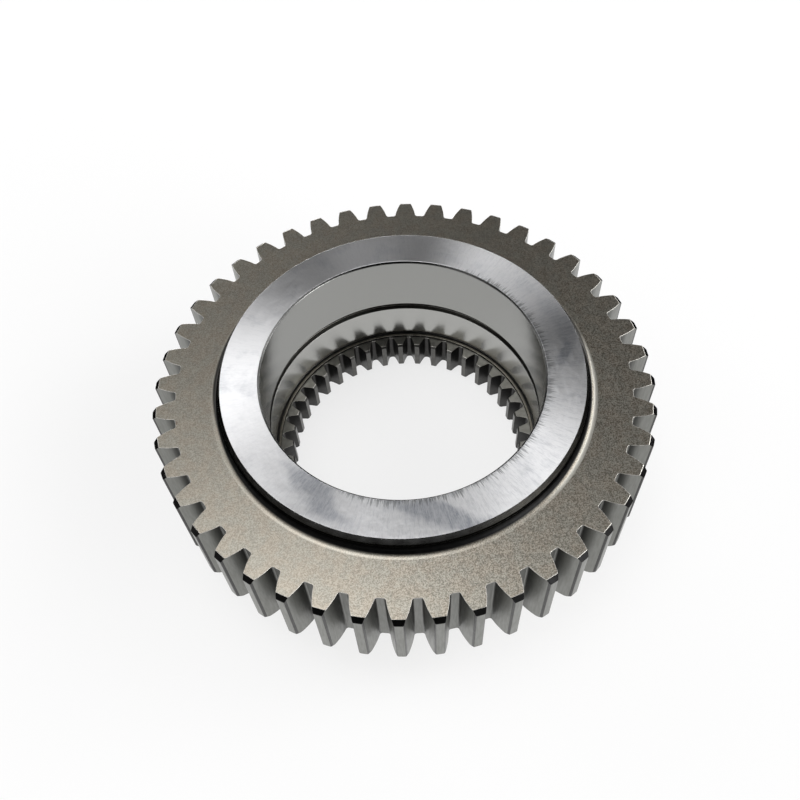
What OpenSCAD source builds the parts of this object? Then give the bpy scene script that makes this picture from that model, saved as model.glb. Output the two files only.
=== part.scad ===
// Gear of a vehicle transfer case: one machined steel piece that turns about Z.
// It has spur teeth on the rim, a hub ring on each side and a stepped bore, which holds
// a bearing behind a retaining ring and ends in a short row of internal teeth.
// Millimetres. Z = 0 is the lower end face, and +Z points out of the bearing seat.
// A tooth of the rim and a space of the internal teeth are both centred on +X.

/* [Teeth on the rim] */
// Number of teeth on the rim
outer_teeth = 44; // [42:1:52]
// Module of the rim teeth: pitch diameter over the number of teeth
outer_module = 4.25; // [4:0.05:5]
// Profile shift of the rim teeth, in modules
outer_shift = 0.08; // [-0.1:0.01:0.3]
// Height of a rim tooth above the pitch circle
outer_addendum = 4.5; // [3.5:0.1:5]
// Depth of a rim tooth below the pitch circle
outer_dedendum = 4.6; // [4:0.1:5.5]
// Radius in the corner between a rim tooth and the root circle
outer_root_radius = 1.5; // [0.8:0.1:1.8]
// Radial size of the chamfer on the upper end of a tooth's tip
tip_chamfer_w = 1.4; // [0.5:0.1:2]
// Axial size of the chamfer on the upper end of a tooth's tip
tip_chamfer_h = 1.8; // [0.5:0.1:3]
// Small chamfer on the lower end of a tooth's tip
lower_tip_chamfer = 0.4; // [0.2:0.1:1.5]
// Pressure angle of both sets of teeth
pressure_angle = 20; // [18:0.5:22.5]

/* [Rim and hubs] */
// Face width of the toothed rim
rim_w = 36.5; // [28:0.5:44]
// Diameter of the hub ring above the rim
upper_hub_d = 143; // [130:0.5:160]
// Height of the hub ring above the rim
upper_hub_h = 7.3; // [5:0.1:12]
// Diameter of the hub below the rim
lower_hub_d = 143; // [125:0.5:160]
// Radial size of the long chamfer on the outer edge of each hub
hub_chamfer_w = 1.2; // [0.5:0.1:3]
// Axial size of the long chamfer on the outer edge of each hub
hub_chamfer_h = 2.6; // [0.5:0.1:4]
// Radius between each hub and the rim's face
hub_fillet_r = 3.5; // [1:0.1:4]

/* [Bore] */
// Diameter of the bearing seat
seat_d = 110; // [108.5:0.5:120]
// Chamfer at the mouth of the bearing seat
seat_chamfer = 0.7; // [0.3:0.1:1.5]
// Depth from the upper end face to the retaining ring's groove
seat_depth = 27; // [20:0.1:32]
// Width of the retaining ring's groove
groove_w = 3.5; // [2:0.1:5]
// Depth of the retaining ring's groove below the seat
groove_depth = 2; // [1:0.1:3]
// Length of the seat between the groove and the shoulder's undercut
land_w = 16.3; // [10:0.1:22]
// Length of the undercut in the foot of the seat, above the shoulder
undercut_w = 1.2; // [0.5:0.1:2]
// Depth of the undercut below the seat
undercut_depth = 0.8; // [0.3:0.1:1.5]
// How far the undercut runs in over the shoulder
undercut_reach = 0.6; // [0.1:0.1:0.8]
// How deep the undercut goes into the shoulder
undercut_sink = 0.5; // [0.2:0.1:0.8]
// Height of the shoulder, which stops the bearing, above the internal teeth
shoulder_h = 0.9; // [0.5:0.1:3]
// Radial step from the bottoms of the tooth spaces out to the shoulder's hole
shoulder_step = 0.4; // [0.2:0.1:0.6]

/* [Internal teeth] */
// Number of internal teeth
inner_teeth = 40; // [36:1:41]
// Module of the internal teeth
inner_module = 2.5; // [2.2:0.05:2.55]
// Profile shift of the internal teeth, in modules
inner_shift = 0.31; // [0:0.01:0.4]
// Height of an internal tooth inside the pitch circle
inner_addendum = 2; // [1.4:0.1:2.5]
// Depth of a tooth space outside the pitch circle
inner_dedendum = 3; // [2.5:0.1:3.2]
// Radius in the corners at the bottom of a tooth space
inner_root_radius = 1.1; // [0.5:0.1:1.3]
// Length of the internal teeth
inner_teeth_w = 14.8; // [8:0.1:20]
// Chamfer on each end of an internal tooth's tip
inner_tip_chamfer = 0.8; // [0.3:0.1:1.2]

/* [Hidden] */

// Steel, as it looks under a soft light
steel = [0.66, 0.65, 0.62];
// Roundness of turned faces, and steps along a tooth's flank and round a corner
$fn = 180;
flank_steps = 6;
corner_steps = 5;
// How far a cutting shape runs past the face that it cuts
over = 0.5;

// Radii of the two sets of teeth
outer_pitch_r = outer_teeth * outer_module / 2;
outer_tip_r = outer_pitch_r + outer_addendum;
outer_root_r = outer_pitch_r - outer_dedendum;
inner_pitch_r = inner_teeth * inner_module / 2;
inner_tip_r = inner_pitch_r - inner_addendum;
inner_root_r = inner_pitch_r + inner_dedendum;

// Radii and heights of the bore, from the internal teeth up to the seat's mouth
seat_r = seat_d / 2;
shoulder_z = inner_teeth_w + shoulder_h;
land_z = shoulder_z + undercut_w;
groove_z = land_z + land_w;
total_h = groove_z + groove_w + seat_depth;

// Heights of the rim's two faces
rim_top_z = total_h - upper_hub_h;
rim_bottom_z = rim_top_z - rim_w;

function polar(r, a) = [r * cos(a), r * sin(a)];
function turned(p, a) = [p.x * cos(a) - p.y * sin(a), p.x * sin(a) + p.y * cos(a)];
function reversed(v) = [for (i = [len(v) - 1 : -1 : 0]) v[i]];

// Involute geometry: the base circle, and half a tooth's angular width at radius r
function base_r(n, m) = n * m / 2 * cos(pressure_angle);
function roll(a) = tan(a) * 180 / PI - a;
function half_width(r, n, m, x) =
    (90 + 2 * x * tan(pressure_angle) * 180 / PI) / n
    + roll(pressure_angle) - roll(acos(base_r(n, m) / r));

// Points of an involute flank between two radii, on the +Y side of a tooth on +X
function flank(r0, r1, n, m, x) =
    [for (i = [0 : flank_steps]) let (r = r0 + (r1 - r0) * i / flank_steps)
        polar(r, half_width(r, n, m, x))];

// A round corner in a tooth's outline. A corner outside the flank has its centre on an
// involute that lies the corner's radius further round the same base circle.
function corner_angle(r, c, n, m, x) = half_width(r, n, m, x) + c / base_r(n, m) * 180 / PI;
function contact_r(r, c, b) = sqrt(b * b + pow(sqrt(r * r - b * b) - c, 2));
function corner(r, c, n, m, x, a0, a1) = let (a = corner_angle(r, c, n, m, x))
    [for (i = [0 : corner_steps])
        polar(r, a) + polar(abs(c), a + a0 + (a1 - a0) * i / corner_steps)];

// Half of a rim tooth, from the root circle out past the tip circle
function outer_side(n, m, x, c) = let (b = base_r(n, m), r = outer_root_r + c)
    concat(corner(r, c, n, m, x, 180, 180 + asin(b / r)),
        flank(contact_r(r, c, b), outer_tip_r + over, n, m, x));

// Half of an internal tooth space, from inside the tip circle out to the root circle
function inner_side(n, m, x, c) = let (b = base_r(n, m), r = inner_root_r - c)
    concat(flank(inner_tip_r - over, contact_r(r, -c, b), n, m, x),
        corner(r, -c, n, m, x, asin(b / r), 0));

// A whole wheel of teeth or spaces from one half of one of them
function wheel(n, side) =
    [for (i = [0 : n - 1], p = concat([for (q = side) [q.x, -q.y]], reversed(side)))
        turned(p, i * 360 / n)];

// Quarter circle in a section, between the angles a0 and a1
function quarter(cx, cy, r, a0, a1) =
    [for (i = [0 : 2 * corner_steps])
        [cx, cy] + polar(r, a0 + (a1 - a0) * i / (2 * corner_steps))];

// Section of the rim, with the chamfers on the ends of the teeth
module rim_section() {
    polygon([
        [0, rim_bottom_z],
        [outer_tip_r - lower_tip_chamfer, rim_bottom_z],
        [outer_tip_r, rim_bottom_z + lower_tip_chamfer],
        [outer_tip_r, rim_top_z - tip_chamfer_h],
        [outer_tip_r - tip_chamfer_w, rim_top_z],
        [0, rim_top_z]
    ]);
}

module toothed_rim() {
    intersection() {
        translate([0, 0, rim_bottom_z - over])
            linear_extrude(rim_w + 2 * over)
                polygon(wheel(outer_teeth,
                    outer_side(outer_teeth, outer_module, outer_shift, outer_root_radius)));
        rotate_extrude() rim_section();
    }
}

// Section of both hubs and the web that joins them through the rim
module hub_section() {
    upper_r = upper_hub_d / 2;
    lower_r = lower_hub_d / 2;
    upper_fillet = min(hub_fillet_r, upper_hub_h - hub_chamfer_h);
    lower_fillet = min(hub_fillet_r, rim_bottom_z - hub_chamfer_h);
    polygon(concat(
        [[0, 0], [lower_r - hub_chamfer_w, 0], [lower_r, hub_chamfer_h]],
        quarter(lower_r + lower_fillet, rim_bottom_z - lower_fillet, lower_fillet, 180, 90),
        quarter(upper_r + upper_fillet, rim_top_z + upper_fillet, upper_fillet, 270, 180),
        [[upper_r, total_h - hub_chamfer_h], [upper_r - hub_chamfer_w, total_h], [0, total_h]]
    ));
}

// Section of what is turned out of the bore, from the seat's mouth down
module bore_section() {
    groove_r = seat_r + groove_depth;
    undercut_r = seat_r + undercut_depth;
    reach_r = seat_r - undercut_reach;
    shoulder_r = inner_root_r + shoulder_step;
    polygon([
        [0, total_h + over],
        [seat_r + seat_chamfer + over, total_h + over],
        [seat_r, total_h - seat_chamfer],
        [seat_r, groove_z + groove_w],
        [groove_r, groove_z + groove_w],
        [groove_r, groove_z],
        [seat_r, groove_z],
        [seat_r, land_z],
        [undercut_r, land_z],
        [undercut_r, shoulder_z - undercut_sink],
        [reach_r, shoulder_z - undercut_sink],
        [reach_r, shoulder_z],
        [shoulder_r, shoulder_z],
        [shoulder_r, inner_teeth_w],
        [inner_tip_r + inner_tip_chamfer, inner_teeth_w],
        [inner_tip_r, inner_teeth_w - inner_tip_chamfer],
        [inner_tip_r, inner_tip_chamfer],
        [inner_tip_r + inner_tip_chamfer + over, -over],
        [0, -over]
    ]);
}

// The spaces between the internal teeth, which run out above into the shoulder's step
module inner_spaces() {
    translate([0, 0, -over])
        linear_extrude(over + inner_teeth_w + shoulder_h / 2)
            polygon(wheel(inner_teeth,
                inner_side(inner_teeth, inner_module, inner_shift, inner_root_radius)));
}

module gear() {
    color(steel)
        difference() {
            union() {
                toothed_rim();
                rotate_extrude() hub_section();
            }
            rotate_extrude() bore_section();
            inner_spaces();
        }
}

gear();
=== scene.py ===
import math
from types import SimpleNamespace
import bpy
from mathutils import Matrix, Vector


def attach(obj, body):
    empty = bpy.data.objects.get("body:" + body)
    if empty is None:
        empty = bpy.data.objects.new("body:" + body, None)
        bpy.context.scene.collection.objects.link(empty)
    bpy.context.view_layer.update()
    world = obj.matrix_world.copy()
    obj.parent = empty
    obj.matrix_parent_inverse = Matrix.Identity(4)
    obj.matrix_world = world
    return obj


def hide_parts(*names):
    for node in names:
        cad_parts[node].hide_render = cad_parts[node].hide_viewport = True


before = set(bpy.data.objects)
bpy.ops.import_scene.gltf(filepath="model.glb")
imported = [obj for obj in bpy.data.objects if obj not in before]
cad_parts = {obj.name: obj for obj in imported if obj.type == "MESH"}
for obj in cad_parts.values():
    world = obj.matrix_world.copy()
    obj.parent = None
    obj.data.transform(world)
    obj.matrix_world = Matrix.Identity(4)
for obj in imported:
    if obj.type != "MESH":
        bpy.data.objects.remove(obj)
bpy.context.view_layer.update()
mm = 0.001
pressureAngle = math.radians(20)
noiseSpan = (0.3, 0.7)          # most values of a noise lie between these
black, white = (0, 0, 0, 1), (1, 1, 1, 1)
print("frame: the CAD gear is loaded")

# The turned body: heights run up from the lower end face, all in millimetres
bodySizes = {
    "hubRadius": 71.5,
    "hubChamfer": (1.2, 2.6),   # radial and axial size
    "hubFillet": 3.5,
    "fullHeight": 63.7,
    "seatRadius": 55,
    "seatChamfer": 0.7,
    "groove": (33.2, 36.7, 2),  # its two heights and its depth
    "undercut": (15.2, 16.9, 0.8),          # the same
    "ledge": (54.4, 15.7),      # radius and height of the shoulder under the bearing
    "shoulderRadius": 53.4,
    "edge": 0.14,               # rounding of the edges of the bore
    "hubEdge": 0.13,            # and of the hubs
    "edgeSegments": 3,
    "filletSegments": 10,
}

# One tooth of the rim, and what it takes to repeat it
rimTooth = {
    "count": 44,
    "module": 4.25,
    "shift": 0.08,              # profile shift, in modules
    "tipRadius": 98,
    "rootRadius": 88.9,
    "corner": 1.0,              # radius in the corner at its root
    "bottom": 19.9,
    "top": 56.4,
    "joinRadius": 86,           # circle where the teeth meet the turned body
    "arcSteps": 10,             # of that circle behind one tooth
    "tipSteps": 4,
    "upperChamfer": (1.4, 1.8),
    "lowerChamfer": (1.3, 1.9),
    "lowEdge": 1.1,             # rounding of the edges at the lower end
    "longEdge": 0.35,           # of the corners along the tip
    "edge": 0.15,               # and of the rest
    "segments": 3,
}

# One tooth inside the bore
boreTooth = {
    "count": 40,
    "module": 2.5,
    "shift": 0.31,
    "tipRadius": 48,
    "rootRadius": 53,
    "corner": 1.1,
    "bottom": 0,
    "top": 14.8,
    "joinRadius": 53.4,
    "arcSteps": 11,
    "tipSteps": 4,
    "chamfer": 0.8,
    "lowEdge": 0.13,
    "longEdge": 0.13,
    "edge": 0.13,
    "segments": 2,
}

# Which edges of a tooth are sharp enough to round, and which count as low or as long
edgeRules = {
    "sharpFrom": 28,            # degrees between its two faces
    "lowWithin": 2,             # mm above the lower end
    "longFrom": 5,              # mm from its lower to its upper point
}

# How near two things have to be to count as one, in mm
nearBy = {
    "point": 0.001,             # two points of a section
    "row": 0.002,               # two points of one row of teeth
    "joined": 0.004,            # two points of the joined gear
    "seamSide": 0.01,           # a face's middle and the plane between two teeth
    "seamTurn": 0.0003,         # the same in the bore, in radians
    "seamRadius": 0.05,         # a face's middle and the circle of joinRadius
}

shading = {
    "smoothBelow": 50,          # degrees between two faces
    "faceWeight": 80,           # how strongly a large face keeps its own shading
}


def polar(radius, angle):
    return Vector((radius * math.cos(angle), radius * math.sin(angle)))


def rollOf(angle):
    return math.tan(angle) - angle


def baseRadius(tooth):
    return tooth["count"] * tooth["module"] / 2 * math.cos(pressureAngle)


def halfWidth(radius, tooth):
    # Half the angle that a tooth takes up at a radius, from the involute of its flank
    share = (math.pi / 2 + 2 * tooth["shift"] * math.tan(pressureAngle)) / tooth["count"]
    return share + rollOf(pressureAngle) - rollOf(math.acos(baseRadius(tooth) / radius))


def flankPoints(innerRadius, outerRadius, tooth, steps=9):
    radii = [innerRadius + (outerRadius - innerRadius) * i / steps for i in range(steps + 1)]
    return [polar(r, halfWidth(r, tooth)) for r in radii]


def cornerPoints(radius, corner, tooth, start, end, steps=6):
    # The centre of a corner lies on an involute too, further round by the corner's radius
    turn = halfWidth(radius, tooth) + corner / baseRadius(tooth)
    angles = [turn + start + (end - start) * i / steps for i in range(steps + 1)]
    return [polar(radius, turn) + polar(abs(corner), a) for a in angles]


def contactRadius(radius, corner, tooth):
    base = baseRadius(tooth)
    return math.sqrt(base ** 2 + (math.sqrt(radius ** 2 - base ** 2) - corner) ** 2)


def arcPoints(radius, start, end, steps):
    return [polar(radius, start + (end - start) * i / steps) for i in range(steps + 1)]


def mirrored(points):
    return [Vector((p.x, -p.y)) for p in points]


def rimToothOutline(tooth):
    pitch = math.pi / tooth["count"]
    radius = tooth["rootRadius"] + tooth["corner"]
    corner = cornerPoints(radius, tooth["corner"], tooth, math.pi,
                          math.pi + math.asin(baseRadius(tooth) / radius))
    contact = contactRadius(radius, tooth["corner"], tooth)
    half = corner + flankPoints(contact, tooth["tipRadius"], tooth)[1:]
    tip = halfWidth(tooth["tipRadius"], tooth)
    land = arcPoints(tooth["tipRadius"], -tip, tip, tooth["tipSteps"])[1:-1]
    root = [polar(tooth["rootRadius"], pitch)]
    seam = arcPoints(tooth["joinRadius"], pitch, -pitch, tooth["arcSteps"])
    return mirrored(root) + mirrored(half) + land + half[::-1] + root + seam


def boreToothOutline(tooth):
    pitch = 2 * math.pi / tooth["count"]
    radius = tooth["rootRadius"] - tooth["corner"]
    corner = cornerPoints(radius, -tooth["corner"], tooth,
                          math.asin(baseRadius(tooth) / radius), 0)
    contact = contactRadius(radius, -tooth["corner"], tooth)
    half = flankPoints(tooth["tipRadius"], contact, tooth)[:-1] + corner
    turn = Matrix.Rotation(pitch, 2)
    other = [turn @ p for p in mirrored(half)]
    tip = halfWidth(tooth["tipRadius"], tooth)
    land = arcPoints(tooth["tipRadius"], tip, pitch - tip, tooth["tipSteps"])[1:-1]
    root = [polar(tooth["rootRadius"], 0)]
    seam = arcPoints(tooth["joinRadius"], pitch, 0, tooth["arcSteps"])
    return root + half[::-1] + land + other + [turn @ root[0]] + seam


def editMode(on):
    bpy.ops.object.mode_set(mode="EDIT" if on else "OBJECT")


def selectNothing():
    bpy.ops.object.select_all(action="DESELECT")


def tracePoints(name, points):
    # One point, drawn out from place to place
    selectNothing()
    bpy.ops.mesh.primitive_plane_add(size=mm, location=(0, 0, 0))
    piece = bpy.context.active_object
    piece.name = name
    editMode(True)
    bpy.ops.mesh.select_mode(type="VERT")
    bpy.ops.mesh.merge(type="CENTER")
    bpy.ops.transform.translate(value=points[0] * mm)
    for before, after in zip(points, points[1:]):
        step = (after - before) * mm
        bpy.ops.mesh.extrude_vertices_move(TRANSFORM_OT_translate={"value": step})
    return piece


def pickVertices(piece, places):
    bpy.ops.mesh.select_all(action="DESELECT")
    editMode(False)
    for vertex in piece.data.vertices:
        distance = min((vertex.co - place).length for place in places)
        vertex.select = distance < nearBy["point"] * mm
    editMode(True)


def pickFaces(piece, test):
    bpy.ops.mesh.select_all(action="DESELECT")
    editMode(False)
    for face in piece.data.polygons:
        face.select = bool(test(face.center / mm, face.normal))
    editMode(True)


def cutAway(point, normal):
    # Takes off what lies past a plane, and closes the cut
    bpy.ops.mesh.select_all(action="SELECT")
    bpy.ops.mesh.bisect(plane_co=Vector(point) * mm, plane_no=normal, use_fill=True,
                        clear_outer=True)


def repeatRound(count):
    bpy.ops.mesh.select_all(action="SELECT")
    bpy.ops.mesh.spin(steps=count - 1, dupli=True, angle=2 * math.pi * (count - 1) / count,
                      center=(0, 0, 0), axis=(0, 0, 1), use_auto_merge=False)


def roundEdges(piece, tooth):
    # Every sharp edge gets its own share of the widest rounding
    bpy.ops.mesh.select_all(action="DESELECT")
    bpy.ops.mesh.select_mode(type="EDGE")
    bpy.ops.mesh.edges_select_sharp(sharpness=math.radians(edgeRules["sharpFrom"]))
    editMode(False)
    widest = max(tooth["lowEdge"], tooth["longEdge"], tooth["edge"])
    shares = piece.data.attributes.new("bevel_weight_edge", "FLOAT", "EDGE")
    for edge in piece.data.edges:
        if not edge.select:
            continue
        first, last = (piece.data.vertices[i].co / mm for i in edge.vertices)
        width = tooth["edge"]
        if max(first.z, last.z) < tooth["bottom"] + edgeRules["lowWithin"]:
            width = tooth["lowEdge"]
        elif abs(first.z - last.z) > edgeRules["longFrom"]:
            width = tooth["longEdge"]
        shares.data[edge.index].value = width / widest
    bpy.ops.object.modifier_add(type="BEVEL")
    rounding = piece.modifiers[-1]
    rounding.limit_method = "WEIGHT"
    rounding.width = widest * mm
    rounding.segments = tooth["segments"]
    rounding.use_clamp_overlap = False
    bpy.ops.object.modifier_apply(modifier=rounding.name)


def makeToothRow(name, tooth, outline, chamfers, isSeam):
    piece = tracePoints(name, [Vector((p.x, p.y, tooth["bottom"])) for p in outline])
    bpy.ops.mesh.select_all(action="SELECT")
    bpy.ops.mesh.edge_face_add()
    bpy.ops.mesh.extrude_region_move(
        TRANSFORM_OT_translate={"value": (0, 0, (tooth["top"] - tooth["bottom"]) * mm)})
    bpy.ops.mesh.select_all(action="SELECT")
    bpy.ops.mesh.normals_make_consistent(inside=False)
    for point, normal in chamfers:
        cutAway(point, normal)
    pickFaces(piece, isSeam)
    bpy.ops.mesh.delete(type="FACE")
    repeatRound(tooth["count"])
    bpy.ops.mesh.select_all(action="SELECT")
    bpy.ops.mesh.remove_doubles(threshold=nearBy["row"] * mm)
    roundEdges(piece, tooth)
    print(name, "row:", len(piece.data.polygons))
    return piece


def makeRimTeeth(tooth):
    pitch = math.pi / tooth["count"]
    wide, high = tooth["upperChamfer"]
    lowWide, lowHigh = tooth["lowerChamfer"]
    chamfers = [
        ((tooth["tipRadius"], 0, tooth["top"] - high), (high, 0, wide)),
        ((tooth["tipRadius"], 0, tooth["bottom"] + lowHigh), (lowHigh, 0, -lowWide)),
    ]
    side = Vector((-math.sin(pitch), math.cos(pitch)))

    def isSeam(centre, normal):
        upright = abs(normal.z) < 0.5
        atSide = abs(abs(centre.y) * side.y + centre.x * side.x) < nearBy["seamSide"]
        atBody = centre.to_2d().length < tooth["joinRadius"] + nearBy["seamRadius"]
        return upright and (atSide or atBody)

    return makeToothRow("rimTeeth", tooth, rimToothOutline(tooth), chamfers, isSeam)


def makeBoreTeeth(tooth):
    pitch = 2 * math.pi / tooth["count"]
    middle = Vector((math.cos(pitch / 2), math.sin(pitch / 2), 0))
    size = tooth["chamfer"]
    chamfers = [
        (middle * tooth["tipRadius"] + Vector((0, 0, tooth["top"] - size)),
         -middle + Vector((0, 0, 1))),
        (middle * tooth["tipRadius"] + Vector((0, 0, tooth["bottom"] + size)),
         -middle - Vector((0, 0, 1))),
    ]

    def isSeam(centre, normal):
        upright = abs(normal.z) < 0.5
        angle = math.atan2(centre.y, centre.x)
        atSide = min(abs(angle), abs(angle - pitch)) < nearBy["seamTurn"]
        atBody = centre.to_2d().length > tooth["joinRadius"] - nearBy["seamRadius"]
        return upright and (atSide or atBody)

    return makeToothRow("boreTeeth", tooth, boreToothOutline(tooth), chamfers, isSeam)


def makeTurnedBody(sizes):
    hub, full, seat = sizes["hubRadius"], sizes["fullHeight"], sizes["seatRadius"]
    wide, high = sizes["hubChamfer"]
    mouth = sizes["seatChamfer"]
    grooveLow, grooveHigh, grooveDepth = sizes["groove"]
    cutLow, cutHigh, cutDepth = sizes["undercut"]
    ledge, ledgeHeight = sizes["ledge"]
    shoulder = sizes["shoulderRadius"]
    join = rimTooth["joinRadius"]
    edge, hubEdge, fillet = sizes["edge"], sizes["hubEdge"], sizes["hubFillet"]
    # Corners of the section: radius, height and the size of the rounding there
    upper = [
        (join, rimTooth["top"], 0), (hub, rimTooth["top"], fillet),
        (hub, full - high, hubEdge), (hub - wide, full, hubEdge),
        (seat + mouth, full, edge), (seat, full - mouth, edge),
        (seat, grooveHigh, edge), (seat + grooveDepth, grooveHigh, edge),
        (seat + grooveDepth, grooveLow, edge), (seat, grooveLow, edge),
        (seat, cutHigh, edge), (seat + cutDepth, cutHigh, edge),
        (seat + cutDepth, cutLow, edge * 2), (ledge, cutLow, edge),
        (ledge, ledgeHeight, edge), (shoulder, ledgeHeight, edge),
        (shoulder, boreTooth["top"], 0),
    ]
    lower = [
        (boreTooth["joinRadius"], 0, 0), (hub - wide, 0, hubEdge), (hub, high, hubEdge),
        (hub, rimTooth["bottom"], fillet), (join, rimTooth["bottom"], 0),
    ]
    strips = []
    for name, section in (("upperBody", upper), ("lowerBody", lower)):
        strip = tracePoints(name, [Vector((r, 0, z)) for r, z, rounding in section])
        for size in sorted({rounding for r, z, rounding in section if rounding}):
            segments = sizes["filletSegments" if size == fillet else "edgeSegments"]
            corners = [Vector((r, 0, z)) * mm for r, z, rounding in section if rounding == size]
            pickVertices(strip, corners)
            bpy.ops.mesh.bevel(offset=size * mm, segments=segments, affect="VERTICES",
                               clamp_overlap=False)
        bpy.ops.mesh.select_all(action="SELECT")
        slices = rimTooth["count"]
        bpy.ops.mesh.spin(steps=rimTooth["arcSteps"], angle=2 * math.pi / slices,
                          center=(0, 0, 0), axis=(0, 0, 1), use_auto_merge=False)
        repeatRound(slices)
        editMode(False)
        strips.append(strip)
    return strips


def joinPieces(name, pieces):
    selectNothing()
    for piece in pieces:
        piece.select_set(True)
    bpy.context.view_layer.objects.active = pieces[0]
    bpy.ops.object.join()
    piece = bpy.context.active_object
    piece.name = name
    piece.data.name = name
    editMode(True)
    bpy.ops.mesh.select_all(action="SELECT")
    bpy.ops.mesh.remove_doubles(threshold=nearBy["joined"] * mm)
    bpy.ops.mesh.normals_make_consistent(inside=False)
    editMode(False)
    return piece


def shadeSmooth(piece, look):
    selectNothing()
    piece.select_set(True)
    bpy.context.view_layer.objects.active = piece
    bpy.ops.object.shade_smooth_by_angle(angle=math.radians(look["smoothBelow"]),
                                         keep_sharp_edges=False)
    bpy.ops.object.modifier_add(type="WEIGHTED_NORMAL")
    weighted = piece.modifiers[-1]
    weighted.keep_sharp = True
    weighted.weight = look["faceWeight"]
    bpy.ops.object.modifier_apply(modifier=weighted.name)


pieces = makeTurnedBody(bodySizes) + [makeRimTeeth(rimTooth), makeBoreTeeth(boreTooth)]
gear = joinPieces("gearBody", pieces)
print("gear:", len(gear.data.vertices), "vertices", len(gear.data.polygons), "faces")
shadeSmooth(gear, shading)


def newMaterial(name):
    material = bpy.data.materials.new(name)
    material.use_nodes = True
    tree = material.node_tree
    tree.nodes.clear()
    output = tree.nodes.new("ShaderNodeOutputMaterial")
    shader = tree.nodes.new("ShaderNodeBsdfPrincipled")
    shader.inputs["Metallic"].default_value = 1
    tree.links.new(shader.outputs["BSDF"], output.inputs["Surface"])
    return material, tree, shader


def setInputs(tree, node, inputs):
    for key, value in dict(inputs).items():
        if isinstance(value, bpy.types.NodeSocket):
            tree.links.new(value, node.inputs[key])
        else:
            node.inputs[key].default_value = value


def addNode(tree, kind, inputs=(), **settings):
    node = tree.nodes.new("ShaderNode" + kind)
    for key, value in settings.items():
        setattr(node, key, value)
    setInputs(tree, node, inputs)
    return node


def maths(tree, operation, *values):
    return addNode(tree, "Math", enumerate(values), operation=operation).outputs[0]


def vectorMaths(tree, operation, *values):
    node = addNode(tree, "VectorMath", enumerate(values), operation=operation)
    return node.outputs["Value" if operation in ("LENGTH", "DOT_PRODUCT") else "Vector"]


def fadeBetween(tree, value, low, high, toLow=0, toHigh=1):
    node = addNode(tree, "MapRange", {0: value, 1: low, 2: high, 3: toLow, 4: toHigh},
                   interpolation_type="SMOOTHSTEP")
    return node.outputs[0]


def fadeSpan(tree, length, span, toLow=0, toHigh=1):
    return fadeBetween(tree, length, span[0] * mm, span[1] * mm, toLow, toHigh)


def fadeSide(tree, around, side, toLow=0, toHigh=1):
    # A side is its direction in degrees from +X, and two cosines between which it fades in
    degrees, low, high = side
    turn = math.radians(degrees)
    ahead = vectorMaths(tree, "DOT_PRODUCT", around, (math.cos(turn), math.sin(turn), 0))
    return fadeBetween(tree, ahead, low, high, toLow, toHigh)


def roundPlaces(tree):
    place = addNode(tree, "TexCoord").outputs["Object"]
    flat = vectorMaths(tree, "MULTIPLY", place, (1, 1, 0))
    return SimpleNamespace(
        place=place,
        around=vectorMaths(tree, "NORMALIZE", flat),    # the way out from the axis
        radius=vectorMaths(tree, "LENGTH", flat),
        height=addNode(tree, "SeparateXYZ", {0: place}).outputs[2])


def noise(tree, where, scale, detail, roughness):
    return addNode(tree, "TexNoise", {"Vector": where, "Scale": scale, "Detail": detail,
                                      "Roughness": roughness}).outputs[0]


def wrapped(tree, around, spread, along):
    # Coordinates for a pattern that closes round the axis and runs along one more way
    circle = vectorMaths(tree, "MULTIPLY", around, (spread, spread, 0))
    way = addNode(tree, "CombineXYZ", {2: along}).outputs[0]
    return vectorMaths(tree, "ADD", circle, way)


def mixed(tree, amount, first, second):
    node = addNode(tree, "Mix", {0: amount, 6: first, 7: second}, data_type="RGBA")
    return node.outputs[2]


def wobbled(tree, place, scale, reach, detail=3):
    drift = addNode(tree, "TexNoise", {"Vector": place, "Scale": scale, "Detail": detail})
    centred = vectorMaths(tree, "SUBTRACT", drift.outputs["Color"], (0.5, 0.5, 0.5))
    return vectorMaths(tree, "MULTIPLY_ADD", centred, (reach, reach, 0), place)


def patch(tree, place, x, y, direction, length, width, strength, solid=0.25, gone=1.1):
    # A soft oval mark: solid and gone are shares of its size, where it starts and ends to fade
    spot = addNode(tree, "Mapping", {"Vector": place, "Location": (x * mm, y * mm, 0),
                                     "Rotation": (0, 0, math.radians(direction)),
                                     "Scale": (length * mm, width * mm, 1)},
                   vector_type="TEXTURE").outputs[0]
    return fadeBetween(tree, vectorMaths(tree, "LENGTH", spot), solid, gone, strength, 0)


def bump(tree, height, distance, strength):
    node = addNode(tree, "Bump", {"Height": height, "Distance": distance, "Strength": strength})
    return node.outputs[0]


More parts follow.
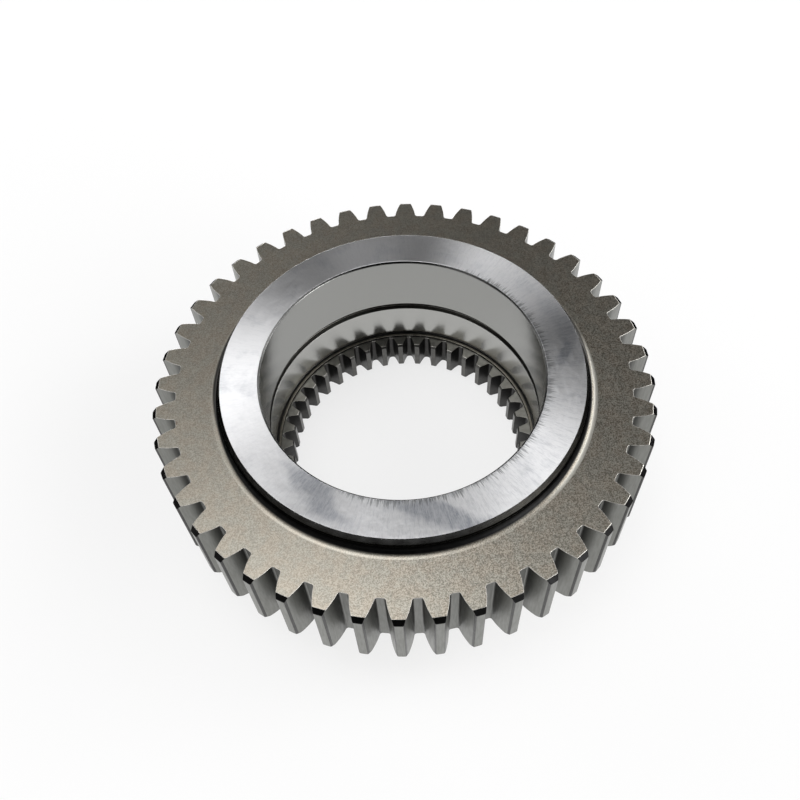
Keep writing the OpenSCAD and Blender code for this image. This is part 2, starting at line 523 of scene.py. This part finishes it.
# In all the looks, radii and heights are in mm and colours are linear. A noise is its cells
# to a metre, detail and roughness. A fade is the two values that it runs between. A side
# is as in fadeSide. A relief is its depth in metres, and its strength.
blastedLook = {
    "warm": ((0.215, 0.191, 0.156, 1), (0.547, 0.498, 0.421, 1)),   # dark and light grains
    "cool": ((0.208, 0.195, 0.164, 1), (0.53, 0.502, 0.435, 1)),
    "mottle": (190, 4, 0.65),               # noise that turns warm into cool
    "mottleFade": (0.4, 0.6),
    "grain": (2350, 2, 0.65),               # noise of the grains
    "grainFade": (0.34, 0.66),
    "grainSide": (-35, -0.1, 0.9),          # side where the grain shows most
    "grainLeast": 0.5,                      # its share on the other side
    "stain": (0.2, 0.145, 0.115, 1),
    "stainPlace": (-88.8, -6, 20, 1.7, 1.1, 0.7),   # as the patches of the ground faces
    "stainWobble": (500, 0.002),            # cells to a metre, and reach in metres
    "rubbed": (0.8, 0.78, 0.71, 1),         # painted highlight: a bright strip round the foot of the fillet
    "paintedHighlightFrom": (73.7, 74.1),             # radii where it fades in
    "rubbedTo": (74.9, 75.1),               # and out
    "paintedHighlightWideSide": (-22, 0.85, 0.98),    # side where it is wider
    "paintedHighlightWider": 0.45,
    "paintedHighlightSide": (-22, 0.8, 0.97),         # side where it is strong
    "paintedHighlightStrength": (0.1, 0.85),          # on the other side and on this one
    "paintedHubShade": (0.03, 0.029, 0.027, 1),    # painted shade at the foot of the hub's wall
    "paintedHubShadeFrom": (71.1, 71.4),
    "paintedHubShadeTo": (72.9, 73.9),
    "paintedHubShadeSide": (92, -0.2, 0.2),        # side where it reaches further
    "paintedHubShadeFurther": 1.1,
    "roughness": (0.28, 0.34),
    "filletRoughness": 0.1,                 # added in the fillet
    "filletTo": (74.5, 75.2),
    "relief": (0.00002, 0.3),
}


def makeBlasted(look):
    material, tree, shader = newMaterial("blastedFace")
    at = roundPlaces(tree)
    grain = noise(tree, at.place, *look["grain"])
    tint = fadeBetween(tree, noise(tree, at.place, *look["mottle"]), *look["mottleFade"])
    dark = mixed(tree, tint, look["warm"][0], look["cool"][0])
    light = mixed(tree, tint, look["warm"][1], look["cool"][1])
    contrast = fadeSide(tree, at.around, look["grainSide"], look["grainLeast"], 1)
    grains = maths(tree, "SUBTRACT", fadeBetween(tree, grain, *look["grainFade"]), 0.5)
    colour = mixed(tree, maths(tree, "MULTIPLY_ADD", grains, contrast, 0.5), dark, light)
    stain = patch(tree, wobbled(tree, at.place, *look["stainWobble"]), *look["stainPlace"])
    colour = mixed(tree, stain, colour, look["stain"])
    # Painted highlight: a bright strip round the foot of the fillet, wider and stronger on one
    # side
    wider = fadeSide(tree, at.around, look["paintedHighlightWideSide"], 0, look["paintedHighlightWider"] * mm)
    inner = maths(tree, "SUBTRACT", at.radius, wider)
    strip = maths(tree, "MULTIPLY", fadeSpan(tree, at.radius, look["paintedHighlightFrom"]),
                  fadeSpan(tree, inner, look["rubbedTo"], 1, 0))
    highlightStrength = fadeSide(tree, at.around, look["paintedHighlightSide"], *look["paintedHighlightStrength"])
    colour = mixed(tree, maths(tree, "MULTIPLY", strip, highlightStrength), colour, look["rubbed"])
    # Painted shade: the foot of the hub's wall is darkened, reaching further on one side
    further = fadeSide(tree, at.around, look["paintedHubShadeSide"], 0, look["paintedHubShadeFurther"] * mm)
    inner = maths(tree, "SUBTRACT", at.radius, further)
    hubShadeMask = maths(tree, "MULTIPLY", fadeSpan(tree, inner, look["paintedHubShadeTo"], 1, 0),
                    fadeSpan(tree, at.radius, look["paintedHubShadeFrom"]))
    rough = fadeBetween(tree, grain, *noiseSpan, *look["roughness"])
    inFillet = fadeSpan(tree, at.radius, look["filletTo"], look["filletRoughness"], 0)
    setInputs(tree, shader, {
        "Base Color": mixed(tree, hubShadeMask, colour, look["paintedHubShade"]),
        "Roughness": maths(tree, "ADD", rough, inFillet),
        "Normal": bump(tree, grain, *look["relief"]),
    })
    return material


groundLook = {
    "colour": (0.71, 0.71, 0.72, 1),
    "scratch": (0.59, 0.595, 0.61, 1),
    # the dull colour serves thin random clouds and the painted shade patches
    "dullAndPaintedShade": (0.3, 0.315, 0.35, 1),
    "dark": (0.16, 0.165, 0.17, 1),
    "roughness": (0.31, 0.36),
    "roughFade": (0.35, 0.65),
    "dullRoughness": 0.06,      # added where the face is dull
    "anisotropy": 1.0,
    "lines": (62, 4, 0.72),     # noise of the scratches, in cells to a radian
    "fineLines": (310, 3, 0.6),
    "fineShare": 0.45,          # of the fine scratches among all marks
    "lineBreaks": 2.2,          # how soon a scratch ends along the radius
    "scratchFade": (0.46, 0.62),
    "scratchSide": (-32, -0.6, 0.4),        # side where the scratches show most
    "scratchLeast": 0.35,       # their share on the other side
    "clouds": (75, 4, 0.6),     # noise of the thin dull clouds
    "cloudFade": (0.5, 0.72),
    "cloudDullness": 0.35,
    "streaks": (0.4, 0.62, 0.65, 1.15),     # how the scratches break the dull places up
    "patchWobble": (60, 0.016), # cells to a metre, and reach in metres
    "patchMost": 0.8,           # places where the painted shade patches overlap get no darker and no duller
    # Painted shade: patches of the dull colour, put where the ring's reflection is dark
    "paintedShadePatches": [                # x, y, direction, half length, half width, strength
        (-37.4, -49.5, -56, 21, 5.5, 1),
        (6, -63, -20, 24, 4.5, 1),
        (65, 12, 96, 22, 5, 0.5),
        (63, -2, 70, 8, 4, 0.8),
        (25, 54, -35, 10, 3, 0.3),
    ],
    "strokes": (115, 3, 0.7),   # noise of the dark fringe's strokes
    "strokeFade": (0.36, 0.72),
    "strokeSide": (-32, -0.2, 0.3),         # side where the strokes are long
    "fringe": (55.7, 4),        # radius it starts at and how far it reaches out
    "fringeFade": (-1.8, 0.7),  # before and past the end of a stroke
    "fringeStrength": 0.75,
    "fringeSide": (-32, -0.3, 0.2),         # side that has the fringe
    "nick": (40.5, 38.4, 43, 1.2, 0.9, 1),  # as the patches
    "relief": (0.0004, 0.5),
    "scratchRelief": 0.02,      # share of the scratches in the relief
}


def makeGround(look):
    material, tree, shader = newMaterial("groundFace")
    at = roundPlaces(tree)
    radial = wrapped(tree, at.around, 1, maths(tree, "MULTIPLY", at.radius, look["lineBreaks"]))
    coarse = noise(tree, radial, *look["lines"])
    fine = noise(tree, radial, *look["fineLines"])
    cloud = noise(tree, at.place, *look["clouds"])
    marks = maths(tree, "MULTIPLY_ADD", fine, look["fineShare"],
                  maths(tree, "MULTIPLY", coarse, 1 - look["fineShare"]))
    scored = maths(tree, "MULTIPLY", fadeBetween(tree, marks, *look["scratchFade"]),
                   fadeSide(tree, at.around, look["scratchSide"], look["scratchLeast"], 1))
    colour = mixed(tree, scored, look["colour"], look["scratch"])
    # Painted shade: dark patches where the ring's reflection is dark, joined with thin random
    # dull clouds
    drifting = wobbled(tree, at.place, *look["patchWobble"])
    dullAndShaded = 0.0
    for spot in look["paintedShadePatches"]:
        dullAndShaded = maths(tree, "ADD", dullAndShaded, patch(tree, drifting, *spot))
    streaks = fadeBetween(tree, marks, *look["streaks"])
    dullAndShaded = maths(tree, "MULTIPLY", maths(tree, "MINIMUM", dullAndShaded, look["patchMost"]), streaks)
    thin = fadeBetween(tree, cloud, *look["cloudFade"])
    thin = maths(tree, "MULTIPLY", thin, look["cloudDullness"])
    dullAndShaded = maths(tree, "MAXIMUM", dullAndShaded, maths(tree, "MULTIPLY", thin, streaks))
    colour = mixed(tree, dullAndShaded, colour, look["dullAndPaintedShade"])
    start, reach = look["fringe"]
    stroke = noise(tree, wrapped(tree, at.around, 1, at.radius), *look["strokes"])
    length = fadeBetween(tree, stroke, *look["strokeFade"], 0, reach * mm)
    length = maths(tree, "MULTIPLY", length, fadeSide(tree, at.around, look["strokeSide"]))
    beyond = maths(tree, "SUBTRACT", maths(tree, "SUBTRACT", at.radius, start * mm), length)
    fringe = fadeSpan(tree, beyond, look["fringeFade"], look["fringeStrength"], 0)
    fringe = maths(tree, "MULTIPLY", fringe, fadeSide(tree, at.around, look["fringeSide"]))
    fringe = maths(tree, "MAXIMUM", fringe, patch(tree, at.place, *look["nick"]))
    rough = fadeBetween(tree, marks, *look["roughFade"], *look["roughness"])
    relief = maths(tree, "MULTIPLY_ADD", marks, look["scratchRelief"],
                   maths(tree, "MULTIPLY", cloud, 1 - look["scratchRelief"]))
    setInputs(tree, shader, {
        "Base Color": mixed(tree, fringe, colour, look["dark"]),
        "Roughness": maths(tree, "MULTIPLY_ADD", dullAndShaded, look["dullRoughness"], rough),
        "Anisotropic": look["anisotropy"],
        "Tangent": vectorMaths(tree, "CROSS_PRODUCT", (0, 0, 1), at.place),
        "Normal": bump(tree, relief, *look["relief"]),
    })
    return material


seatLook = {
    "colour": (0.335, 0.337, 0.324, 1),
    "lower": (0.43, 0.43, 0.413, 1),        # below the groove
    "change": (33.5, 36.5),                 # heights between which one turns into the other
    "roughness": (0.17, 0.23),
    "anisotropy": 0.6,
    "lines": (3500, 3, 0.6),
    "lineSpread": 0.012,                    # the less, the longer the lines round the axis
    "relief": (0.000004, 0.2),
}


def makeSeat(look):
    material, tree, shader = newMaterial("seatWall")
    at = roundPlaces(tree)
    lines = noise(tree, wrapped(tree, at.around, look["lineSpread"], at.height), *look["lines"])
    above = fadeSpan(tree, at.height, look["change"])
    setInputs(tree, shader, {
        "Base Color": mixed(tree, above, look["lower"], look["colour"]),
        "Roughness": fadeBetween(tree, lines, *noiseSpan, *look["roughness"]),
        "Anisotropic": look["anisotropy"],
        "Tangent": addNode(tree, "CombineXYZ", {2: 1}).outputs[0],
        "Normal": bump(tree, lines, *look["relief"]),
    })
    return material


flankLook = {
    "colour": (0.21, 0.212, 0.197, 1),
    "dark": (0.183, 0.184, 0.169, 1),
    "roughness": (0.3, 0.37),
    "marks": (1300, 3, 0.6),
    "stretch": (1, 1, 0.12),    # the marks are long from end to end of a tooth
    "rootShade": (0.8, 0.42),   # on the root circle, and in the corners beside it
    "rootTo": (88.97, 89.25),
    "cornersTo": (89.5, 93.5),
}


def makeFlank(look):
    material, tree, shader = newMaterial("toothFlank")
    at = roundPlaces(tree)
    marks = noise(tree, vectorMaths(tree, "MULTIPLY", at.place, look["stretch"]), *look["marks"])
    colour = mixed(tree, fadeBetween(tree, marks, *noiseSpan), look["colour"], look["dark"])
    root, corner = look["rootShade"]
    shade = maths(tree, "MAXIMUM", fadeSpan(tree, at.radius, look["rootTo"], root, 0),
                  fadeSpan(tree, at.radius, look["cornersTo"], corner, 1))
    setInputs(tree, shader, {
        "Base Color": mixed(tree, shade, black, colour),
        "Roughness": fadeBetween(tree, marks, *noiseSpan, *look["roughness"]),
    })
    return material


# Plainly turned or broached steel: one recipe, with a colour for each place
turnedMarks = {
    "lines": (3000, 2, 0.5),
    "lineSpread": 0.01,
    "wear": (420, 3, 0.6),
    "wearFade": (0.35, 0.65),
    "wearShade": 0.8,           # how dark the worn places are
    "relief": (0.00001, 0.2),
}
turnedLooks = {
    # Painted shade: nearly black, with its edge reflection dimmed, for the dark reflections on
    # the hub's wall and the other turned faces
    "turnedSteelPaintedDark": {"colour": (0.055, 0.055, 0.054, 1), "roughness": (0.22, 0.32),
                    "edgeOn": (0.22, 0.22, 0.22, 1)},
    # Painted shade: nearly black, with its edge reflection dimmed, for the dark reflections on
    # the teeth's tip chamfers and the steep foot of the hub's fillet
    "paintedShadeChamfer": {"colour": (0.012, 0.012, 0.012, 1), "roughness": (0.35, 0.45),
                        "edgeOn": (0.07, 0.07, 0.07, 1)},
    "grooveSteel": {"colour": (0.41, 0.404, 0.376, 1), "roughness": (0.28, 0.36)},
    "ledgeSteel": {"colour": (0.27, 0.253, 0.215, 1), "roughness": (0.3, 0.4)},
    "boreEnd": {"colour": (0.37, 0.363, 0.332, 1), "roughness": (0.28, 0.36)},
    "boreLand": {"colour": (0.13, 0.128, 0.122, 1), "roughness": (0.28, 0.38)},
    # Painted shade: nearly black, for the dark reflections between the teeth of the bore and on
    # the corners along the rim teeth's tips
    "broachedToothPaintedDark": {"colour": (0.052, 0.051, 0.049, 1), "roughness": (0.28, 0.4)},
}


def makeTurned(name, look, marks):
    material, tree, shader = newMaterial(name)
    at = roundPlaces(tree)
    along = maths(tree, "ADD", at.radius, at.height)
    lines = noise(tree, wrapped(tree, at.around, marks["lineSpread"], along), *marks["lines"])
    wear = fadeBetween(tree, noise(tree, at.place, *marks["wear"]), *marks["wearFade"])
    full = look["colour"]
    faint = tuple(c * marks["wearShade"] for c in full[:3]) + (1,)
    setInputs(tree, shader, {
        "Base Color": mixed(tree, wear, full, faint),
        "Specular Tint": look.get("edgeOn", white),
        "Roughness": fadeBetween(tree, lines, *noiseSpan, *look["roughness"]),
        "Normal": bump(tree, lines, *marks["relief"]),
    })
    return material


# Edges: worn steel, and lighter still as a painted highlight along them
edgeLook = {
    "colour": (0.5, 0.485, 0.45, 1),
    "roughness": (0.25, 0.42),
    "rub": (900, 2, 0.6),
}


def makeEdgeWearAndHighlight(look):
    material, tree, shader = newMaterial("edgeWearAndHighlight")
    rub = noise(tree, roundPlaces(tree).place, *look["rub"])
    setInputs(tree, shader, {
        "Base Color": look["colour"],
        "Roughness": fadeBetween(tree, rub, *noiseSpan, *look["roughness"]),
    })
    return material


# Where one finish gives way to the next, in mm. A name that ends in Up or Out is how far a
# face looks up, or away from the axis, where 1 is fully.
rimLimits = {
    "faceUp": 0.97,
    "chamferFrom": (96, 54.4),  # radius and height of the chamfer on a tooth's tip
    "chamferOut": 0.3,
    "chamferUp": (0.45, 0.75),  # past the second it is the worn edge above the chamfer, made lighter as a painted highlight
    "edgeDepth": 0.25,          # worn edge with a painted highlight, round the upper face
    "edgeUp": 0.2,
    "cornerFrom": 97.3,         # radius of the corners along a tooth's tip
    "cornerOut": (0.35, 0.94),
    "cornerUp": 0.3,
}
bodyLimits = {
    "rimFace": 1.6,             # outside the hub's radius
    "hubFoot": 0.1,
    "endFace": 0.3,             # outside the seat's radius, as all down to the lands
    "endDepth": 0.5,
    "endUp": 0.85,
    "hubWall": 5,
    "seat": 0.1,
    "groove": 1.9,
    "lands": 0.02,
    "mouthDepth": 2,            # below the upper end face
    "ledge": 0.02,              # outside the ledge's radius
    "ledgeUp": 0.5,
    "teeth": 0.02,              # inside the shoulder's radius
}
boreLimits = {
    "endUp": 0.85,
    "edgeDepth": 0.2,           # worn edge with a painted highlight, round the upper ends of the teeth
    "edgeUp": 0.2,
    "tipOut": -0.6,
    "tipRadius": 49,
}


def finishOfRim(centre, normal, radius, out):
    limits = rimLimits
    fromRadius, fromHeight = limits["chamferFrom"]
    leastUp, mostUp = limits["chamferUp"]
    leastOut, mostOut = limits["cornerOut"]
    if abs(normal.z) > limits["faceUp"]:
        return "blastedFace"
    nearChamfer = radius > fromRadius and centre.z > fromHeight
    if nearChamfer and out > limits["chamferOut"] and normal.z > leastUp:
        return "paintedShadeChamfer" if normal.z < mostUp else "edgeWearAndHighlight"
    if centre.z > rimTooth["top"] - limits["edgeDepth"] and normal.z > limits["edgeUp"]:
        return "edgeWearAndHighlight"
    onCorner = radius > limits["cornerFrom"] and leastOut < out < mostOut
    if onCorner and abs(normal.z) < limits["cornerUp"]:
        return "broachedToothPaintedDark"
    return "toothFlank"


def finishOfBody(centre, normal, radius):
    limits, sizes = bodyLimits, bodySizes
    hub, seat, top = sizes["hubRadius"], sizes["seatRadius"], sizes["fullHeight"]
    flat = abs(normal.z) > limits["endUp"]
    atEnd = centre.z > top - limits["endDepth"] or centre.z < limits["endDepth"]
    if radius > hub + limits["rimFace"]:
        return "blastedFace"
    if radius > hub + limits["hubFoot"]:
        return "paintedShadeChamfer"
    if radius > seat + limits["endFace"] and flat and atEnd:
        return "groundFace"
    if radius > seat + limits["hubWall"]:
        return "turnedSteelPaintedDark"
    if centre.z > sizes["undercut"][1] and radius < seat + limits["seat"]:
        return "seatWall"
    if radius > seat + limits["groove"]:
        return "grooveSteel"
    if radius > seat + limits["lands"]:
        return "turnedSteelPaintedDark" if centre.z > top - limits["mouthDepth"] else "boreLand"
    if centre.z < limits["endDepth"]:
        return "groundFace"
    onLedge = normal.z > limits["ledgeUp"] and radius < sizes["ledge"][0] + limits["ledge"]
    return "ledgeSteel" if onLedge else "turnedSteelPaintedDark"


def finishOfBoreTeeth(centre, normal, radius, out):
    limits = boreLimits
    if abs(normal.z) > limits["endUp"]:
        return "boreEnd"
    if abs(normal.z) > limits["edgeUp"] and centre.z > boreTooth["top"] - limits["edgeDepth"]:
        return "edgeWearAndHighlight"
    onTip = out < limits["tipOut"] and radius < limits["tipRadius"]
    return "boreLand" if onTip else "broachedToothPaintedDark"


def finishOf(centre, normal):
    radius = centre.to_2d().length
    out = Vector((centre.x, centre.y, 0)).normalized().dot(normal)
    if radius > rimTooth["joinRadius"]:
        return finishOfRim(centre, normal, radius, out)
    if radius > bodySizes["shoulderRadius"] - bodyLimits["teeth"]:
        return finishOfBody(centre, normal, radius)
    return finishOfBoreTeeth(centre, normal, radius, out)


finishes = [makeBlasted(blastedLook), makeGround(groundLook), makeSeat(seatLook),
            makeFlank(flankLook), makeEdgeWearAndHighlight(edgeLook)]
finishes += [makeTurned(name, look, turnedMarks) for name, look in turnedLooks.items()]
gear.data.materials.clear()
for finish in finishes:
    gear.data.materials.append(finish)
slotOf = {finish.name: number for number, finish in enumerate(finishes)}
for face in gear.data.polygons:
    face.material_index = slotOf[finishOf(face.center / mm, face.normal)]
print("finishes:", len(finishes), "are on")

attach(gear, "root")
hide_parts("gear")

stageLook = {
    "floorRadius": 3,           # metres
    "floorSides": 96,
    "floorColour": (0.93, 0.93, 0.93, 1),
    "floorRoughness": 0.9,
    "floorGloss": 0.1,
    "whiteness": 0.75,          # how much of what a camera or gloss ray sees is white paper
}


def raysOf(tree):
    rays = addNode(tree, "LightPath").outputs
    gloss = maths(tree, "MAXIMUM", rays["Is Glossy Ray"], rays["Is Transmission Ray"])
    return rays["Is Camera Ray"], gloss


def makeFloor(look):
    selectNothing()
    bpy.ops.mesh.primitive_circle_add(vertices=look["floorSides"], radius=look["floorRadius"],
                                      fill_type="NGON", location=(0, 0, 0))
    floor = bpy.context.active_object
    floor.name = "floor"
    material = bpy.data.materials.new("paperFloor")
    material.use_nodes = True
    tree = material.node_tree
    shader = tree.nodes["Principled BSDF"]
    setInputs(tree, shader, {"Base Color": look["floorColour"],
                             "Roughness": look["floorRoughness"],
                             "Specular IOR Level": look["floorGloss"]})
    cameraRay, gloss = raysOf(tree)
    seen = maths(tree, "MULTIPLY", maths(tree, "MAXIMUM", cameraRay, gloss), look["whiteness"])
    glow = addNode(tree, "Emission", {"Color": white, "Strength": 1}).outputs[0]
    paper = addNode(tree, "MixShader", {0: seen, 1: shader.outputs[0], 2: glow}).outputs[0]
    tree.links.new(paper, tree.nodes["Material Output"].inputs["Surface"])
    floor.data.materials.append(material)


# Soft panels round the room: elevation and azimuth from +X in degrees, and strength
roomLight = {
    "spread": 8.84,             # size of every panel, in degrees
    "level": 0.8,               # turns all of them up or down
    "paperFoot": (0.03, 0.13),  # heights between which the white foot fades, 1 is overhead
    "low": [(5, 40, 7.8), (5, 100, 15.2), (5, 140, 1.7), (5, 180, 4.9), (5, 320, 11.1),
            (21, 10, 9.5), (21, 50, 1.2), (21, 150, 4.1), (21, 310, 2.7), (21, 330, 7.9)],
    "middle": [(37, 0, 6.0), (37, 216, 2.1), (52, 195, 0.8)],
    "ceiling": [(66, 120, 1.1), (66, 160, 1.5), (79, 108, 2.6), (79, 180, 4.7), (79, 324, 0.8)],
}


def makeWorld(light):
    world = bpy.data.worlds.new("softRoom")
    bpy.context.scene.world = world
    world.use_nodes = True
    tree = world.node_tree
    direction = addNode(tree, "TexCoord").outputs["Generated"]
    tightness = 1 / math.radians(light["spread"]) ** 2
    total = 0.0
    # Each panel is a soft lobe round its own direction
    for elevation, azimuth, strength in light["low"] + light["middle"] + light["ceiling"]:
        high, turn = math.radians(elevation), math.radians(azimuth)
        towards = (math.cos(high) * math.cos(turn), math.cos(high) * math.sin(turn),
                   math.sin(high))
        away = maths(tree, "SUBTRACT", vectorMaths(tree, "DOT_PRODUCT", direction, towards), 1.0)
        fall = maths(tree, "EXPONENT", maths(tree, "MULTIPLY", away, tightness))
        total = maths(tree, "MULTIPLY_ADD", fall, strength * light["level"], total)
    # The backdrop is white paper: the camera sees it all round, and the steel its foot
    cameraRay, gloss = raysOf(tree)
    height = addNode(tree, "SeparateXYZ", {0: direction}).outputs[2]
    foot = fadeBetween(tree, height, *light["paperFoot"], 1, 0)
    total = maths(tree, "MAXIMUM", total, maths(tree, "MULTIPLY", gloss, foot))
    lit = maths(tree, "MULTIPLY", total, maths(tree, "SUBTRACT", 1, cameraRay))
    setInputs(tree, tree.nodes["Background"], {"Color": white,
                                               "Strength": maths(tree, "ADD", lit, cameraRay)})


cameraView = {
    "place": (-15.80, -200.47, 350.45),     # millimetres
    "forward": (0.0390, 0.5461, -0.8368),
    "roll": 3.864,                          # degrees
    "lens": 41.02,                          # millimetres, as the sensor
    "sensor": 36,
    "clip": (0.01, 20),                     # metres
}


def makeCamera(view):
    data = bpy.data.cameras.new("photoCamera")
    data.lens = view["lens"]
    data.sensor_width = view["sensor"]
    data.clip_start, data.clip_end = view["clip"]
    camera = bpy.data.objects.new("photoCamera", data)
    forward = Vector(view["forward"]).normalized()
    right = forward.cross(Vector((0, 0, 1))).normalized()
    down = forward.cross(right)
    turn = math.radians(view["roll"])
    across = math.cos(turn) * right + math.sin(turn) * down
    below = -math.sin(turn) * right + math.cos(turn) * down
    axes = Matrix((across, -below, -forward)).transposed()
    camera.matrix_world = Matrix.Translation(Vector(view["place"]) * mm) @ axes.to_4x4()
    bpy.context.scene.collection.objects.link(camera)
    bpy.context.scene.camera = camera


makeFloor(stageLook)
makeWorld(roomLight)
makeCamera(cameraView)
bpy.context.scene.view_settings.view_transform = "Standard"
print("stage, light and camera are in place")
